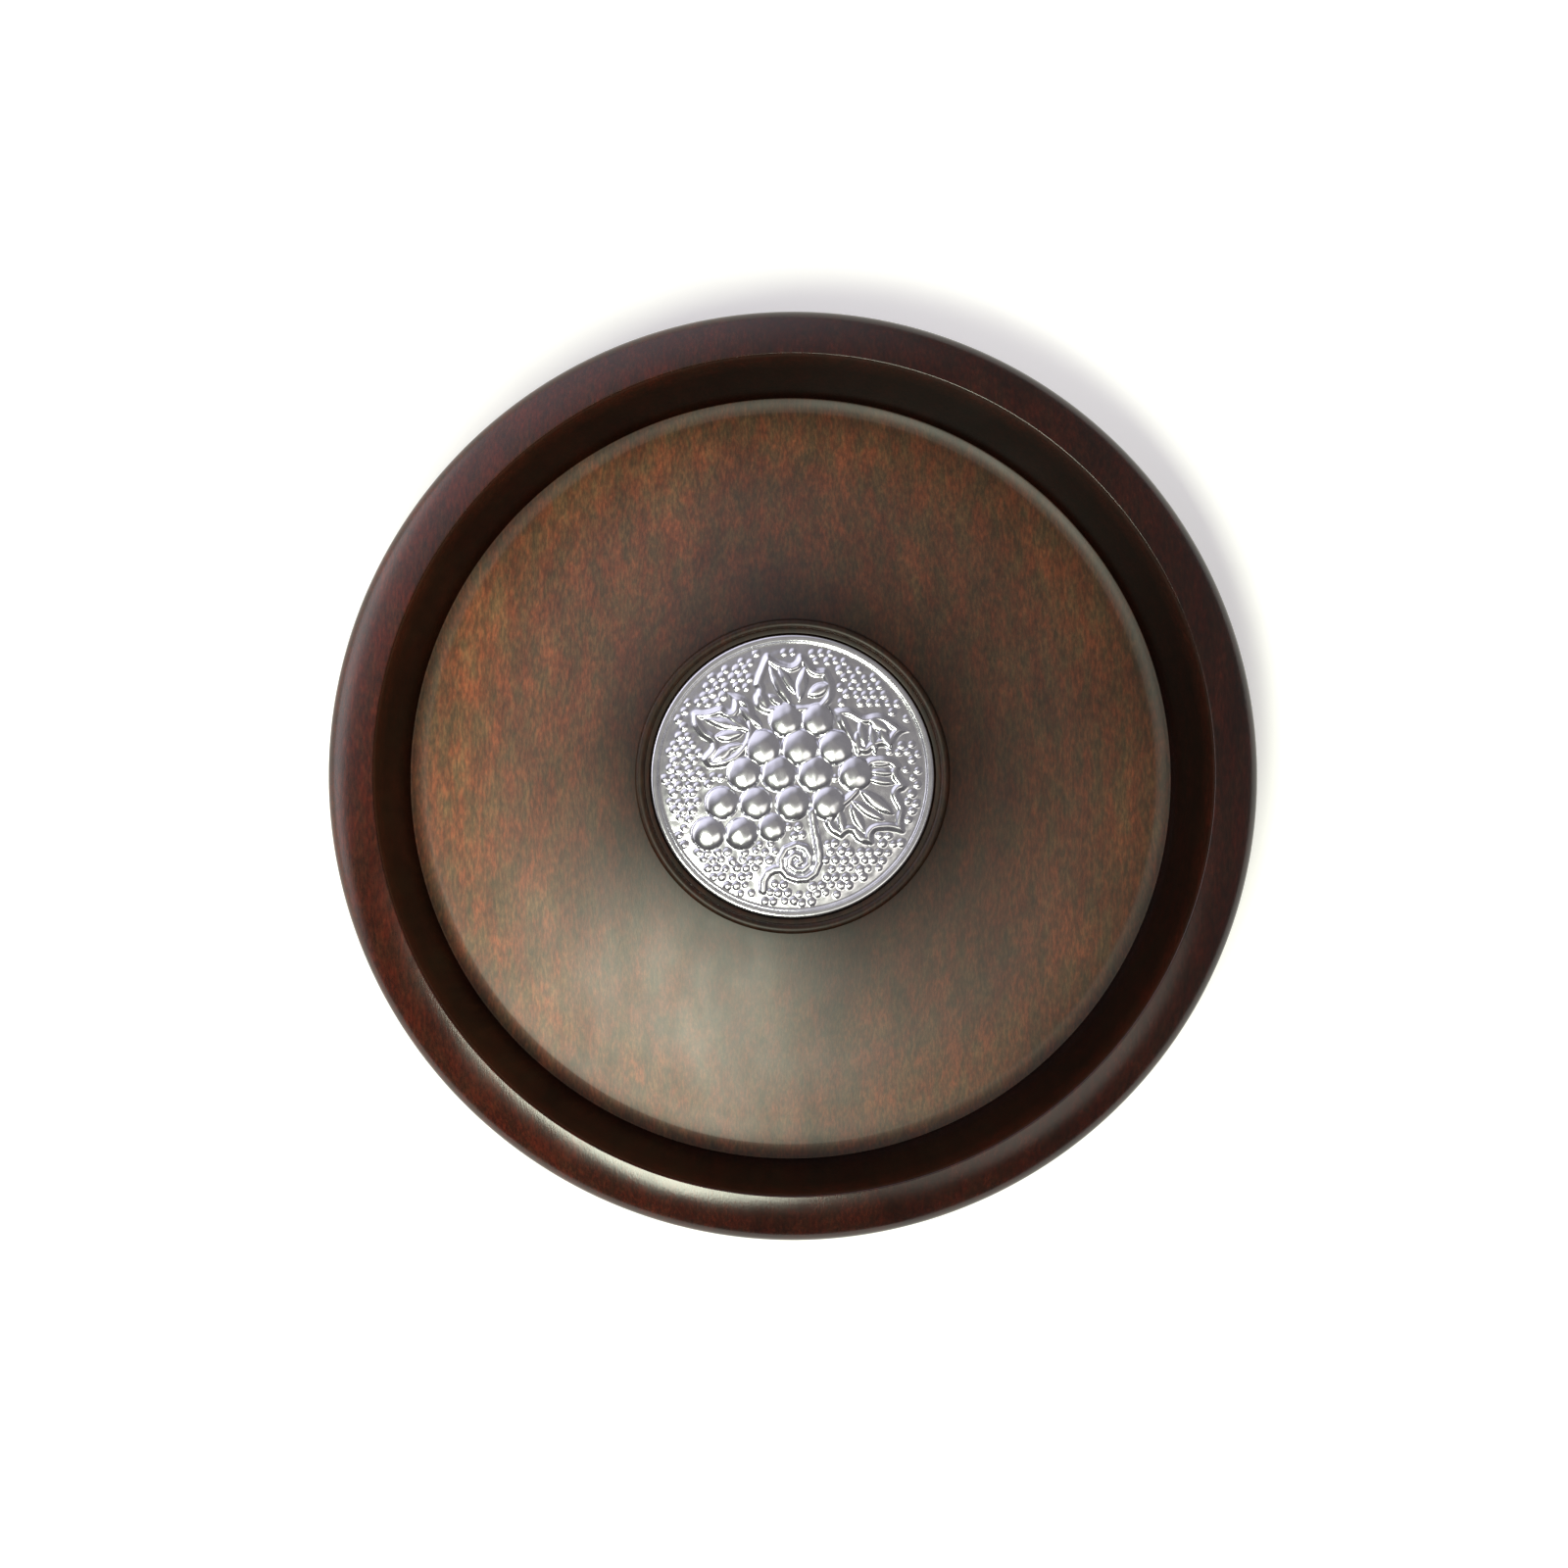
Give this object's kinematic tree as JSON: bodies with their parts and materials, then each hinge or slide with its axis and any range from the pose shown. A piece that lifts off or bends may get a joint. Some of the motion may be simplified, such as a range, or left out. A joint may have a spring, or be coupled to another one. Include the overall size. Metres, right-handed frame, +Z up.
{
  "type": "offering plate",
  "caption": "Round turned hardwood offering plate with a deep ring-shaped well, a rolled rim and a raised centre boss that holds an embossed metal medallion.",
  "frame": {"origin": "centre of the base, on the surface that the plate stands on", "axes": "+Z up along the turning axis, out of the well; +Y towards the top of the medallion's picture; +X to its right"},
  "size_m": [0.305, 0.305, 0.0499],
  "materials": {
    "stained_wood": "dark walnut stain with orange-brown fleck under satin lacquer",
    "rim_wood": "deep red-brown stain under satin lacquer",
    "silver_plate": "bright silver plate, embossed",
    "filler": "cast resin filler",
    "adhesive_pad": "white foam adhesive pad",
    "felt": "dense wool felt"
  },
  "bodies": {
    "root": {"floor_disc": "stained_wood", "rim_ring": "rim_wood", "medallion_face": "silver_plate", "medallion_core": "filler", "medallion_pad": "adhesive_pad", "base_felt": "felt"}
  },
  "joints": []
}
